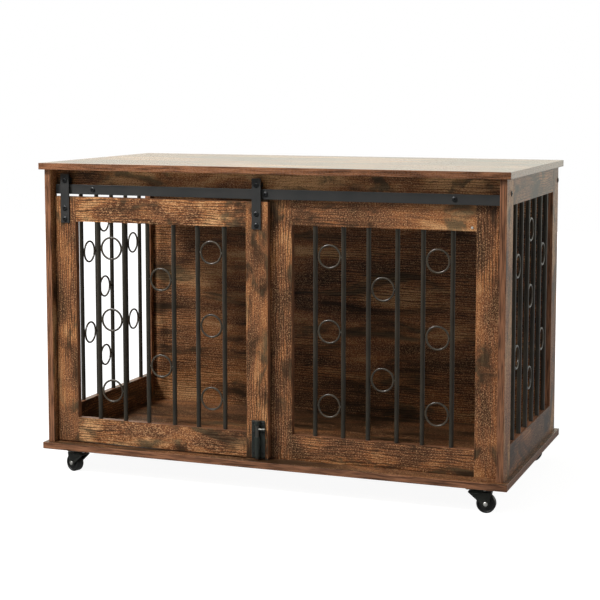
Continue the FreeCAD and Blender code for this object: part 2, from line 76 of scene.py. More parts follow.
def ringSurface(centre, axis, side, radius, wire, depth, sides=72, steps=20, softness=0.85):
    # a soft square carried round a circle: radius + wire/2 * c(v), depth/2 * s(v) along the axis,
    # where c and s are cosine and sine with their size raised to the power of the softness
    v = np.linspace(0, 2 * np.pi, steps, endpoint=False)
    wave = np.stack([np.sin(v), np.cos(v)], axis=1)
    soft = np.sign(wave) * np.abs(wave) ** softness
    return turnedSurface(soft * (depth / 2, wire / 2) + (0, radius), centre, axis, side, sides)


def socketSurface(rows, centre, axis, side, sides=48):
    # a turned head whose well is a hexagon: rows are (along, radius, share), and the radius is
    # multiplied by (1 - share) + share * hexagon(u)
    along, radius, share = np.asarray(rows, float).T[:, :, None, None]
    u = np.linspace(0, 2 * np.pi, sides, endpoint=False)[None, :, None]
    hexagon = math.cos(math.pi / 6) / np.cos(u % (math.pi / 3) - math.pi / 6)
    reach = radius * (1 - share + share * hexagon)
    return centre + axis * along + reach * (side * np.cos(u) + np.cross(axis, side) * np.sin(u))


def roundedOutline(width, height, corner, steps=7):
    # four quarter circles joined by straight runs, counter-clockwise
    turn = np.linspace(0, np.pi / 2, steps)
    angle = np.concatenate([turn + quarter * np.pi / 2 for quarter in range(4)])
    signX = np.repeat([1, -1, -1, 1], steps)
    signY = np.repeat([1, 1, -1, -1], steps)
    return np.stack([signX * (width / 2 - corner) + corner * np.cos(angle),
                     signY * (height / 2 - corner) + corner * np.sin(angle)], axis=1)


def slabSurface(outline, centre, across, up, thickness, edge, bend=0.3):
    # an outline carried through a thickness along across x up, drawn in by the edge at both faces,
    # with one row between at the bend, a share of the edge, to round it
    middle = outline.mean(axis=0)
    reach = np.linalg.norm(outline - middle, axis=1).mean()
    half = thickness / 2
    rows = mirrored([(-half, 0), (-half, 1 - edge / reach),
                     (-half + bend * edge, 1 - bend * edge / reach), (-half + edge, 1)])
    flat = middle + rows[:, 1, None, None] * (outline - middle)
    return centre + flat[..., :1] * across + flat[..., 1:] * up + rows[:, :1, None] * np.cross(across, up)


def beadSurface(centre, size, sides=16, rings=9):
    # an ellipsoid: half sizes along X, Y and Z
    v = np.linspace(0, np.pi, rings)[:, None]
    u = np.linspace(0, 2 * np.pi, sides, endpoint=False)[None, :]
    unit = np.stack([np.sin(v) * np.cos(u), np.sin(v) * np.sin(u), np.cos(v) + 0 * u], axis=-1)
    return centre + unit * np.asarray(size)


# points nearer than join become one, edges over so many degrees stay sharp
meshLook = {"join": 0.001 * mm, "sharp": 38}


def addPiece(name, grids, material, body, stands=()):
    # one mesh of several grids, each with True if its last row joins the first,
    # and stands are the solids that it replaces
    points, faces, start = [], [], 0
    for grid, closed in grids:
        rows, columns = grid.shape[:2]
        row = np.arange(rows if closed else rows - 1)[:, None]
        column = np.arange(columns)[None, :]
        nextRow, nextColumn = (row + 1) % rows, (column + 1) % columns
        quad = np.broadcast_arrays(row * columns + column, row * columns + nextColumn,
                                   nextRow * columns + nextColumn, nextRow * columns + column)
        points.append(grid.reshape(-1, 3))
        faces.append(np.stack(quad, axis=-1).reshape(-1, 4) + start)
        start += rows * columns
    mesh = bpy.data.meshes.new(name)
    mesh.from_pydata(np.concatenate(points).tolist(), [], np.concatenate(faces).tolist())
    work = bmesh.new()
    work.from_mesh(mesh)
    bmesh.ops.remove_doubles(work, verts=work.verts, dist=meshLook["join"])  # closes the poles
    bmesh.ops.recalc_face_normals(work, faces=work.faces)
    work.to_mesh(mesh)
    work.free()
    mesh.shade_smooth()
    mesh.set_sharp_from_angle(angle=math.radians(meshLook["sharp"]))
    mesh.materials.append(material)
    piece = bpy.data.objects.new(name, mesh)
    scene.collection.objects.link(piece)
    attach(piece, body)
    if stands:
        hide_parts(*stands)


# Materials. A Mix node's inputs are 0 for the share, 2 and 3 for numbers, 6 and 7 for colours.
# A Map Range node turns the range of inputs 1 and 2 into that of 3 and 4.

def linear(hexText):  # the sRGB curve, undone
    channel = np.array([int(hexText[place:place + 2], 16) for place in (1, 3, 5)]) / 255
    curve = np.where(channel <= 0.04045, channel / 12.92, ((channel + 0.055) / 1.055) ** 2.4)
    return (*curve.tolist(), 1.0)


def addNode(tree, kind, settings=None, links=None):
    node = tree.nodes.new(kind)
    for key, value in (settings or {}).items():
        if key == "stops":
            while len(node.color_ramp.elements) < len(value):
                node.color_ramp.elements.new(0.5)
            for element, (place, colour) in zip(node.color_ramp.elements, value):
                element.position = place
                element.color = colour
        elif isinstance(key, int) or key in node.inputs:
            node.inputs[key].default_value = value
        else:
            setattr(node, key, value)
    for key, source in (links or {}).items():
        tree.links.new(source, node.inputs[key])
    return node


def newMaterial(name):
    material = bpy.data.materials.new(name)
    material.use_nodes = True
    tree = material.node_tree
    tree.nodes.clear()
    shader = addNode(tree, "ShaderNodeBsdfPrincipled")
    addNode(tree, "ShaderNodeOutputMaterial", links={"Surface": shader.outputs[0]})
    coords = addNode(tree, "ShaderNodeTexCoord")
    return material, tree, shader, coords


white = (1, 1, 1, 1)
noiseLow, noiseHigh = 0.3, 0.7  # most of a noise pattern lies between these

waveUnit = 10 / math.pi  # a wave pattern repeats after 1 / waveUnit of its own unit
boardPrint = {
    "marks": {  # what draws each mark, its length and width in mm, its settings
        "patch": ("ShaderNodeTexNoise", 120, 62, {"Detail": 3.0, "Roughness": 0.5, "Distortion": 0.6}),
        "grain": ("ShaderNodeTexNoise", 60, 3.2, {"Detail": 4.0, "Roughness": 0.6, "Distortion": 0.4}),
        # real pores are under a millimetre wide, drawn coarser so that they show
        "fleck": ("ShaderNodeTexNoise", 3.0, 1.8, {"Detail": 1.0, "Roughness": 0.6}),
        "smudge": ("ShaderNodeTexNoise", 95, 52, {"Detail": 5.0, "Roughness": 0.6, "Distortion": 0.9}),
        "zone": ("ShaderNodeTexNoise", 330, 210, {"Detail": 1.0, "Roughness": 0.5}),
        "line": ("ShaderNodeTexWave", 95, 6.0 * waveUnit,  # one every 6 mm
                 {"Distortion": 9.0, "Detail": 3.0, "Detail Scale": 1.0, "Detail Roughness": 0.55}),
        "knot": ("ShaderNodeTexVoronoi", 170, 95, {}),
    },
    "stretched": ("patch", "smudge"),  # marks that are longer on some boards
    "grainShare": 0.32,  # of the tone, the rest follows the patches
    "ramps": {  # the pattern they follow, then colours and where they sit on it
        "browns": ("tone", (0.38, "#452711"), (0.47, "#6d4024"), (0.54, "#905930"), (0.65, "#c09162")),
        "smoke": ("tone", (0.41, "#2c2012"), (0.60, "#69573d")),
        "edgeBand": ("grain", (0.38, "#472c1c"), (0.60, "#875b40")),
    },
    "amounts": {  # the pattern they follow, where there is none, where there is most, how much that is
        "smudge": ("smudge", 0.52, 0.62, 0.92),
        "goldFleck": ("fleck", 0.52, 0.70, 0.70),
        "offSmudge": ("smudge", 0.60, 0.50, 1.0),
        "darkFleck": ("fleck", 0.48, 0.30, 0.80),
        "line": ("line", 0.42, 0.0, 0.9),
        "linedZone": ("zone", 0.36, 0.52, 1.0),
        "knot": ("knot", 0.2, 0.07, 0.85),
        "fewKnots": ("knotNumber", 0.62, 0.64, 1.0),
        "broadFace": ("outward", 0.55, 0.75, 1.0),
    },
    # gold only off the smudges, lines only in some zones, knots in few places
    "limits": {"goldFleck": "offSmudge", "line": "linedZone", "knot": "fewKnots"},
    # laid over the browns and their smoky smudges in this order
    "layers": {"goldFleck": "#d2a77a", "darkFleck": "#2c1807", "line": "#2c1807", "knot": "#24170a"},
    "glossSpread": 0.06, "reliefStrength": 0.2, "reliefDepth": 0.2 * mm,
}
grainTurn = {"X": (0, 0, 0), "Y": (0, 0, -math.pi / 2), "Z": (0, math.pi / 2, 0)}


def printedBoard(name, grain, face, shift, toneLiftAndPaintedLight, stretch, roughness, mirror):
    # melamine-faced chipboard: a printed rustic plank, gold flecks on brown with smoky smudges, wavy lines
    # and knots, under a satin overlay; the narrow faces wear an edge band of plainer, redder brown
    material, tree, shader, coords = newMaterial(name)
    turned = addNode(tree, "ShaderNodeMapping", {"Rotation": grainTurn[grain], "Location": shift},
                     {"Vector": coords.outputs["Object"]})
    marks = {}
    for mark, (kind, length, width, settings) in boardPrint["marks"].items():
        longer = stretch if mark in boardPrint["stretched"] else 1.0
        scale = (1 / (length * longer * mm), 1 / (width * mm), 1 / (width * mm))
        scaled = addNode(tree, "ShaderNodeMapping", {"Scale": scale}, {"Vector": turned.outputs[0]})
        marks[mark] = addNode(tree, kind, {"Scale": 1.0, **settings}, {"Vector": scaled.outputs[0]})
    # the lines lie across the grain, on the broad face
    marks["line"].bands_direction = "Y" if {grain, face} == {"X", "Z"} else "Z"

    source = {mark: node.outputs[0] for mark, node in marks.items()}
    source["line"] = marks["line"].outputs["Fac"]
    number = addNode(tree, "ShaderNodeSeparateXYZ", links={0: marks["knot"].outputs["Color"]})
    source["knotNumber"] = number.outputs[0]
    normal = addNode(tree, "ShaderNodeSeparateXYZ", links={0: coords.outputs["Normal"]})
    source["outward"] = addNode(tree, "ShaderNodeMath", {"operation": "ABSOLUTE"},
                                {0: normal.outputs["XYZ".index(face)]}).outputs[0]
    tone = addNode(tree, "ShaderNodeMix", {0: boardPrint["grainShare"]},
                   {2: source["patch"], 3: source["grain"]})
    # the lift moves the whole print lighter or darker; on the header it is painted light and on the base
    # painted shade
    source["tone"] = addNode(tree, "ShaderNodeMath", {"operation": "ADD", 1: toneLiftAndPaintedLight},
                             {0: tone.outputs[0]}).outputs[0]

    ramps, amounts = {}, {}
    for ramp, (pattern, *stops) in boardPrint["ramps"].items():
        colours = [(place, linear(hexText)) for place, hexText in stops]
        ramps[ramp] = addNode(tree, "ShaderNodeValToRGB", {"stops": colours},
                              {"Fac": source[pattern]}).outputs[0]
    for layer, (pattern, none, full, most) in boardPrint["amounts"].items():
        amounts[layer] = addNode(tree, "ShaderNodeMapRange", {1: none, 2: full, 3: 0.0, 4: most},
                                 {"Value": source[pattern]}).outputs[0]
    for layer, limit in boardPrint["limits"].items():
        amounts[layer] = addNode(tree, "ShaderNodeMath", {"operation": "MULTIPLY"},
                                 {0: amounts[layer], 1: amounts[limit]}).outputs[0]

    plank = addNode(tree, "ShaderNodeMix", {"data_type": "RGBA"},
                    {0: amounts["smudge"], 6: ramps["browns"], 7: ramps["smoke"]})
    for layer, hexText in boardPrint["layers"].items():
        plank = addNode(tree, "ShaderNodeMix", {"data_type": "RGBA", 7: linear(hexText)},
                        {0: amounts[layer], 6: plank.outputs[2]})
    colour = addNode(tree, "ShaderNodeMix", {"data_type": "RGBA"},
                     {0: amounts["broadFace"], 6: ramps["edgeBand"], 7: plank.outputs[2]})
    tree.links.new(colour.outputs[2], shader.inputs["Base Color"])

    dull, bright = roughness + boardPrint["glossSpread"], roughness - boardPrint["glossSpread"]
    gloss = addNode(tree, "ShaderNodeMapRange", {1: noiseLow, 2: noiseHigh, 3: dull, 4: bright},
                    {"Value": source["fleck"]})
    tree.links.new(gloss.outputs[0], shader.inputs["Roughness"])
    shader.inputs["Specular IOR Level"].default_value = mirror
    relief = addNode(tree, "ShaderNodeBump",
                     {"Strength": boardPrint["reliefStrength"], "Distance": boardPrint["reliefDepth"]},
                     {"Height": source["grain"]})
    tree.links.new(relief.outputs[0], shader.inputs["Normal"])
    return material


# real orange peel is about 0.5 mm, drawn coarser so that it shows
coatLook = {"peel": 1.6 * mm, "peelStrength": 0.12, "peelDepth": 0.1 * mm, "cloud": 45 * mm,
            "darkAt": 0.35, "paleAt": 0.7}


def coatedSteel(name, hexText, paleHex, roughness):
    # powder-coated steel: a dark satin skin with the fine orange peel of baked powder
    material, tree, shader, coords = newMaterial(name)
    peel = addNode(tree, "ShaderNodeTexNoise", {"Scale": 1 / coatLook["peel"], "Detail": 2.0},
                   {"Vector": coords.outputs["Object"]})
    cloud = addNode(tree, "ShaderNodeTexNoise", {"Scale": 1 / coatLook["cloud"], "Detail": 3.0},
                    {"Vector": coords.outputs["Object"]})
    stops = [(coatLook["darkAt"], linear(hexText)), (coatLook["paleAt"], linear(paleHex))]
    colour = addNode(tree, "ShaderNodeValToRGB", {"stops": stops}, {"Fac": cloud.outputs[0]})
    tree.links.new(colour.outputs[0], shader.inputs["Base Color"])
    relief = addNode(tree, "ShaderNodeBump",
                     {"Strength": coatLook["peelStrength"], "Distance": coatLook["peelDepth"]},
                     {"Height": peel.outputs[0]})
    tree.links.new(relief.outputs[0], shader.inputs["Normal"])
    shader.inputs["Roughness"].default_value = roughness
    return material


# plating's crystals are finer than this, drawn coarser so that they show
plateLook = {"spangle": 3 * mm, "brighter": 0.07, "duller": 0.09}


def platedSteel(name, hexText, roughness):
    # zinc-plated steel: bright grey metal with faint cloudy spangle
    material, tree, shader, coords = newMaterial(name)
    spangle = addNode(tree, "ShaderNodeTexNoise", {"Scale": 1 / plateLook["spangle"], "Detail": 2.0},
                      {"Vector": coords.outputs["Object"]})
    bright, dull = roughness - plateLook["brighter"], roughness + plateLook["duller"]
    shade = addNode(tree, "ShaderNodeMapRange", {1: noiseLow, 2: noiseHigh, 3: bright, 4: dull},
                    {"Value": spangle.outputs[0]})
    tree.links.new(shade.outputs[0], shader.inputs["Roughness"])
    shader.inputs["Base Color"].default_value = linear(hexText)
    shader.inputs["Metallic"].default_value = 1.0
    return material


# a sparked mould's grain is about 0.1 mm, drawn coarser so that it shows
plasticLook = {"spark": 1.1 * mm, "sparkStrength": 0.15, "sparkDepth": 0.08 * mm,
               "darkAt": 0.35, "paleAt": 0.7}


def mouldedPlastic(name, hexText, paleHex, roughness, clear=0.0):
    # moulded nylon or polyurethane: even colour with a fine sparked texture from the mould
    material, tree, shader, coords = newMaterial(name)
    spark = addNode(tree, "ShaderNodeTexNoise", {"Scale": 1 / plasticLook["spark"], "Detail": 2.0},
                    {"Vector": coords.outputs["Object"]})
    stops = [(plasticLook["darkAt"], linear(hexText)), (plasticLook["paleAt"], linear(paleHex))]
    colour = addNode(tree, "ShaderNodeValToRGB", {"stops": stops}, {"Fac": spark.outputs[0]})
    tree.links.new(colour.outputs[0], shader.inputs["Base Color"])
    relief = addNode(tree, "ShaderNodeBump",
                     {"Strength": plasticLook["sparkStrength"], "Distance": plasticLook["sparkDepth"]},
                     {"Height": spark.outputs[0]})
    tree.links.new(relief.outputs[0], shader.inputs["Normal"])
    shader.inputs["Roughness"].default_value = roughness
    shader.inputs["Transmission Weight"].default_value = clear
    return material


barCoat = coatedSteel("powderCoatBars", "#292620", "#353028", 0.3)
# the rings wear the bars' powder coat; this copy is paler as painted sheen, standing in for the highlights
# on the thin wire
ringCoatPaintedSheen = coatedSteel("powderCoatRingsPaintedSheen", "#363028", "#463e33", 0.3)
trackCoat = coatedSteel("powderCoatTrack", "#252626", "#2e2d2c", 0.44)
forkCoat = coatedSteel("powderCoatForks", "#1b1d18", "#262822", 0.42)
blackCoat = coatedSteel("blackOxideBolts", "#101112", "#18191a", 0.36)  # thinner than powder, as satin
latchCoat = coatedSteel("powderCoatLatch", "#1f2320", "#2b2f2b", 0.34)
zincPlate = platedSteel("zincPlatedRivets", "#e6e5e0", 0.52)
boltPlate = platedSteel("zincPlatedBolt", "#73726d", 0.5)
wheelNylon = mouldedPlastic("mouldedNylonWheels", "#0f100f", "#1a1b1a", 0.46)
guideNylon = mouldedPlastic("mouldedNylonGuides", "#c9c3b6", "#d6d1c6", 0.5)
bumperGel = mouldedPlastic("clearPolyurethaneBumper", "#d8d8d2", "#e2e2dc", 0.18, clear=0.45)
print("materials: steel and plastic")

boardGroups = {  # grain, broad face, place on the print, lighter or darker (painted light on the header, painted shade on the base), longer marks, solids
    "boardTop": ("X", "Z", (0.31, 0.12, 0.0), 0.0, 2.6, ["top_board"]),
    # the base's print is darkened as painted shade, for the dim floor inside the crate
    "boardBase": ("X", "Z", (1.73, 0.42, 0.3), -0.07, 2.6, ["base_board"]),
    # the header's print is lifted as painted light, making up for the shade that the top's overhang casts on
    # it
    "boardHeader": ("X", "Y", (7.7, 0.3, 0.9), 0.07, 1.0, ["header_rail"]),
    "boardBack": ("X", "Y", (5.53, 6.81, 3.54), 0.0, 2.6, ["back_panel"]),
    "railsFixed": ("X", "Y", (8.98, 8.96, 7.56), -0.01, 1.0,
                   ["fixed_panel_top_rail", "fixed_panel_bottom_rail"]),
    "railsDoor": ("X", "Y", (4.19, 0.33, 0.91), 0.02, 1.0, ["door_top_rail", "door_bottom_rail"]),
    "stilesFixed": ("Z", "Y", (2.42, 4.26, 1.14), -0.03, 1.0,
                    ["fixed_panel_left_stile", "fixed_panel_right_stile"]),
    "stilesDoor": ("Z", "Y", (5.89, 5.54, 1.42), 0.0, 1.0, ["door_left_stile", "door_right_stile"]),
    "stilesSides": ("Z", "X", (4.47, 2.31, 0.55), 0.05, 1.4,
                    [f"{side}_side_{end}_stile" for side in ("left", "right") for end in ("front", "back")]),
    "railsSides": ("Y", "X", (3.05, 1.51, 0.22), -0.04, 1.4,
                   [f"{side}_side_{end}_rail" for side in ("left", "right") for end in ("top", "bottom")]),
}
boardFinish = {"polished": (0.28, 0.5), "satin": (0.42, 0.3)}  # roughness and strength of the reflection
softEdge = {"boards": 0.7 * mm, "steel": 0.35 * mm, "join": 0.01 * mm, "segments": 2, "angle": 50}


def dressNode(node, material, edge):
    solid = nodes[node]
    solid.data.materials.clear()
    solid.data.materials.append(material)
    weld = solid.modifiers.new("joinCorners", "WELD")
    weld.merge_threshold = softEdge["join"]
    bevel = solid.modifiers.new("softEdges", "BEVEL")
    bevel.width = edge
    bevel.segments = softEdge["segments"]
    bevel.limit_method = "ANGLE"
    bevel.angle_limit = math.radians(softEdge["angle"])


for name, (grain, face, shift, toneLiftAndPaintedLight, stretch, members) in boardGroups.items():
    roughness, mirror = boardFinish["polished" if name == "boardTop" else "satin"]
    material = printedBoard(name + "Melamine", grain, face, shift, toneLiftAndPaintedLight, stretch, roughness, mirror)
    for node in members:
        dressNode(node, material, softEdge["boards"])
print("boards:", sum(len(group[-1]) for group in boardGroups.values()))

for node in ("door_track", "hanger_left", "hanger_right"):
    dressNode(node, trackCoat, softEdge["steel"])

# Bars and rings: straight round bars, rings of soft square wire and a weld bead where they meet.
barSize = {"radius": 5.0 * mm, "sides": 36, "ringRadius": 24.8 * mm, "wire": 4.4 * mm, "depth": 4.4 * mm,
           "bead": (2.4 * mm, 2.1 * mm, 1.9 * mm), "beadOut": 0.8 * mm, "beadReach": 1.2 * mm}
ringRows = {  # heights in mm, for spaces with two and with three rings
    "front": {2: (262.95, 460.95), 3: (196.95, 361.95, 526.95)},
    "left": {2: (299.0, 497.0), 3: (231.0, 403.0, 565.0)},
    "right": {2: (313.0, 511.0), 3: (245.0, 430.0, 579.0)},
}
barGroups = {  # solid: (body, rows, bars, rings in the space after each bar)
    "door_bars_1": ("door", "front", 2, (3,)),
    "door_bars_2": ("door", "front", 2, (2,)),
    "door_bars_3": ("door", "front", 2, (3,)),
    "fixed_panel_bars_1": ("cabinet", "front", 2, (3,)),
    "fixed_panel_bars_2": ("cabinet", "front", 2, (2,)),
    "fixed_panel_bars_3": ("cabinet", "front", 2, (3,)),
    "left_side_bars_1": ("cabinet", "left", 1, ()),
    "left_side_bars_2": ("cabinet", "left", 3, (2, 3)),
    "left_side_bars_3": ("cabinet", "left", 2, (2,)),
    "right_side_bars_1": ("cabinet", "right", 2, (2,)),
    "right_side_bars_2": ("cabinet", "right", 2, (3,)),
    "right_side_bars_3": ("cabinet", "right", 2, (2,)),
}


def weldedBars(node, body, rows, barCount, ringCounts):
    low, high = cornersOf(node)
    along, through = (axisX, axisY) if rows == "front" else (axisY, axisX)
    radius, ringRadius = barSize["radius"], barSize["ringRadius"]
    plane = through * (middleOf(node) @ through)
    places = np.linspace(low @ along + radius, high @ along - radius, barCount)
    length = high[2] - low[2]
    profile = [(0, 0), (0, radius), (length, radius), (length, 0)]
    bars, rings = [], []
    for place in places:
        foot = along * place + plane + axisZ * low[2]
        bars.append((turnedSurface(profile, foot, axisZ, axisX, barSize["sides"]), False))
    for left, right, count in zip(places, places[1:], ringCounts):
        gap = (right - left) / 2 - radius  # from a ring's centre to the bars beside it
        reach = (gap + ringRadius) / 2 + barSize["beadOut"]
        # a bead grows where the ring stops short of the bar
        longer = max(0.0, (gap - ringRadius) / 2 - barSize["beadReach"])
        bead = np.stack([along, through, axisZ], axis=1) @ barSize["bead"] + along * longer
        for height in ringRows[rows][count]:
            centre = along * (left + right) / 2 + plane + axisZ * height * mm
            ring = ringSurface(centre, through, along, ringRadius, barSize["wire"], barSize["depth"])
            rings.append((ring, True))
            rings += [(beadSurface(centre + along * sign * reach, bead), False) for sign in (-1, 1)]
    name = node.replace("_", "-")
    addPiece(name + "-rods", bars, barCoat, body, (node,))
    if rings:
        addPiece(name + "-rings", rings, ringCoatPaintedSheen, body)


for node, (body, rows, barCount, ringCounts) in barGroups.items():
    weldedBars(node, body, rows, barCount, ringCounts)
print("bars:", len(barGroups), "groups")

# Bolts with button heads and a hexagon well.
# The rim is a share of the height, lip and taper are shares of the well's radius.
boltSize = {"head": 6.0 * mm, "height": 2.0 * mm, "rim": 0.3, "domeSteps": 6, "domeCurve": 1.5,
            "well": 2.7 * mm, "wellDepth": 1.4 * mm, "lip": 1.12, "taper": 0.97}


def buttonHead(centre, out, side):
    # a straight rim, a dome that rises as a sine while its radius falls as a power, and a well in the middle
    radius, height, well, rim = (boltSize[key] for key in ("head", "height", "well", "rim"))
    step = np.linspace(0, 1, boltSize["domeSteps"])[1:]
    rise = height * (rim + (1 - rim) * np.sin(step * np.pi / 2))
    reach = radius + (well * boltSize["lip"] - radius) * step ** boltSize["domeCurve"]
    dome = np.stack([rise, reach, 0 * step], axis=1)
    bottom = height - boltSize["wellDepth"]
    rows = np.concatenate([[(0, 0, 0), (0, radius, 0), (rim * height, radius, 0)], dome,
                           [(height, well, 1), (bottom, well * boltSize["taper"], 1), (bottom, 0, 1)]])
    return socketSurface(rows, centre, out, side), False


head = boltSize["head"]
trackFront, trackZ = cornersOf("door_track")[0][1], middleOf("door_track")[2]
low, high = cornersOf("track_bolts")
trackHeads = [buttonHead(np.array([x, trackFront, trackZ]), -axisY, axisX)
              for x in (low[0] + head, 0.0, high[0] - head)]
addPiece("track-bolts", trackHeads, blackCoat, "cabinet", ("track_bolts",))

hangerHeads = []
low, high = cornersOf("hanger_bolts")
strapFront = cornersOf("hanger_left")[0][1]
hangerX = {side: middleOf(f"hanger_{side}")[0] for side in ("left", "right")}
for x in hangerX.values():
    for z in (low[2] + head, high[2] - head):
        hangerHeads.append(buttonHead(np.array([x, strapFront, z]), -axisY, axisX))
addPiece("hanger-bolts", hangerHeads, blackCoat, "door", ("hanger_bolts",))

# Roller axles: a button head in front, a shaft and a hexagon nut.
# The nut's edge is cut by a height and a radius.
axleSize = {"radius": 3.0 * mm, "bevel": 0.6 * mm, "sides": 32, "nutSeat": 3.0 * mm,
            "nut": 5.0 * mm, "nutHeight": 2.9 * mm, "nutEdge": (0.3 * mm, 0.6 * mm), "nutRounding": 0.6}
axleBack, axleZ = cornersOf("roller_axles")[1][1], middleOf("roller_axles")[2]
axleLength = axleBack - strapFront
shaft = [(0, 0), (0, axleSize["radius"]), (axleLength - axleSize["bevel"], axleSize["radius"]),
         (axleLength, axleSize["radius"] - axleSize["bevel"]), (axleLength, 0)]
nutRadius, nutHeight = axleSize["nut"], axleSize["nutHeight"]
nutCut, nutIn = axleSize["nutEdge"]
nut = [(0, 0, 1), (0, nutRadius, 1), (nutHeight - nutCut, nutRadius, 1),
       (nutHeight, nutRadius - nutIn, axleSize["nutRounding"]), (nutHeight, 0, 0)]
axleParts = []
for x in hangerX.values():
    front = np.array([x, strapFront, axleZ])
    axleParts.append(buttonHead(front, -axisY, axisX))
    axleParts.append((turnedSurface(shaft, front, axisY, axisX, axleSize["sides"]), False))
    nutPlace = np.array([x, axleBack - axleSize["nutSeat"], axleZ])
    axleParts.append((socketSurface(nut, nutPlace, axisY, axisX), False))
addPiece("roller-axles", axleParts, blackCoat, "door", ("roller_axles",))

low, high = cornersOf("side_bolts")
sideZ = middleOf("side_bolts")[2]
sideHeads = []
for y in (low[1] + head, high[1] - head):
    sideHeads.append(buttonHead(np.array([low[0] + boltSize["height"], y, sideZ]), -axisX, axisY))
    sideHeads.append(buttonHead(np.array([high[0] - boltSize["height"], y, sideZ]), axisX, axisY))
addPiece("side-bolts", sideHeads, blackCoat, "cabinet", ("side_bolts",))
print("bolt heads:", len(trackHeads) + len(hangerHeads) + len(hangerX) + len(sideHeads))

# Spacers: sleeves between the track and the header rail.
spacerSize = {"radius": 5.0 * mm, "bore": 3.1 * mm, "edge": 0.3 * mm, "sides": 40}
low, high = cornersOf("track_spacers")
sleeve = mirrored([(0, spacerSize["bore"]), (0, spacerSize["radius"] - spacerSize["edge"]),
                   (spacerSize["edge"], spacerSize["radius"])], high[1] - low[1])
spacers = [(turnedSurface(sleeve, np.array([x, low[1], trackZ]), axisY, axisX, spacerSize["sides"]), True)
           for x in (low[0] + spacerSize["radius"], 0.0, high[0] - spacerSize["radius"])]
addPiece("track-spacers", spacers, trackCoat, "cabinet", ("track_spacers",))

# Grooved rollers: two flanges with rounded rims and slightly sloping inner walls.
rollerSize = {"flange": 11.0 * mm, "groove": 8.7 * mm, "wall": 2.5 * mm, "bore": 3.05 * mm,
              "rim": 0.5 * mm, "bend": 0.3, "slope": 0.1 * mm, "sides": 56}
flange, wall, rim = rollerSize["flange"], rollerSize["wall"], rollerSize["rim"]
bend = rim * rollerSize["bend"]  # a share of the rim
halfRoller = [(0, rollerSize["bore"]), (0, flange - rim), (bend, flange - bend), (rim, flange),
              (wall - rim, flange), (wall - rollerSize["slope"], flange - rim), (wall, rollerSize["groove"])]
for side in ("left", "right"):
    low, high = cornersOf(f"roller_{side}")
    centre = np.array([hangerX[side], low[1], axleZ])
    profile = mirrored(halfRoller, high[1] - low[1])
    roller = turnedSurface(profile, centre, axisY, axisX, rollerSize["sides"])
    addPiece(f"roller-{side}", [(roller, True)], wheelNylon,
             f"roller_{side}", (f"roller_{side}",))

# Floor guides: a pin on a flange. The pin's edge is cut by a height and a radius.
guideSize = {"flange": 3.5 * mm, "flangeHeight": 1.5 * mm, "flangeEdge": 0.4 * mm,
             "pin": 2.5 * mm, "pinEdge": (0.6 * mm, 0.7 * mm)}
low, high = cornersOf("floor_guides")
tall = high[2] - low[2]
pinCut, pinIn = guideSize["pinEdge"]
guideProfile = [(0, 0), (0, guideSize["flange"]),
                (guideSize["flangeHeight"] - guideSize["flangeEdge"], guideSize["flange"]),
                (guideSize["flangeHeight"], guideSize["flange"] - guideSize["flangeEdge"]),
                (guideSize["flangeHeight"], guideSize["pin"]), (tall - pinCut, guideSize["pin"]),
                (tall, guideSize["pin"] - pinIn), (tall, 0)]
guideY = middleOf("floor_guides")[1]
guides = [(turnedSurface(guideProfile, np.array([x, guideY, low[2]]), axisZ, axisX), False)
          for x in (low[0] + guideSize["flange"], high[0] - guideSize["flange"])]
addPiece("floor-guides", guides, guideNylon, "cabinet", ("floor_guides",))

# Bumper: a quarter ellipse turned about its axis.
bumperSize = {"radius": 3.0 * mm, "steps": 9, "sides": 40}
low, high = cornersOf("door_bumper")
quarter = np.linspace(0, np.pi / 2, bumperSize["steps"])
dome = np.stack([(high[1] - low[1]) * np.sin(quarter), bumperSize["radius"] * np.cos(quarter)], axis=1)
seat = np.array([(low[0] + high[0]) / 2, high[1], (low[2] + high[2]) / 2])
bumper = turnedSurface(np.concatenate([[(0, 0)], dome]), seat, -axisY, axisX, bumperSize["sides"])
addPiece("door-bumper", [(bumper, False)], bumperGel, "cabinet", ("door_bumper",))
print("track parts")

# Barrel bolt: a plate with pressed guides and small screws, and a plated bolt with a side handle.
latchSize = {
    "plate": 2.0 * mm, "corner": 2.5 * mm, "edge": 0.4 * mm,
    "barrel": 6.18 * mm, "barrelSteps": 25, "guides": ((77 * mm, 122 * mm), (148 * mm, 158 * mm)),
    "screw": 3.0 * mm, "screwSides": 28,
    "screwAcross": 11.4 * mm, "screwHeights": (84 * mm, 130 * mm, 152 * mm),
    # a height in mm and a share of the screw's radius
    "screwRows": ((-0.3, 0), (-0.3, 1), (0.15, 1), (0.5, 0.78), (0.65, 0.4), (0.45, 0.3), (0.4, 0)),
    "bolt": 4.5 * mm, "boltSides": 40, "nose": 0.9 * mm, "bend": 0.3 * mm, "heel": 0.7 * mm,
    "handle": 3.0 * mm, "handleSides": 36, "handleHeight": 139 * mm,
    # mm from the handle's end, and radius in mm
    "knobRows": ((-4.0, 3.0), (-3.7, 3.7), (-3.2, 4.0), (-0.8, 4.0), (-0.2, 3.6), (0, 2.8), (0, 0)),
}
plateLow, plateHigh = cornersOf("latch_plate")
boltLow, boltHigh = cornersOf("latch_bolt")
latchThick, barrel, bolt = latchSize["plate"], latchSize["barrel"], latchSize["bolt"]
plateFront = plateHigh[1] - latchThick
latchX, latchZ = middleOf("latch_plate")[[0, 2]]
latchY = middleOf("latch_bolt")[1]

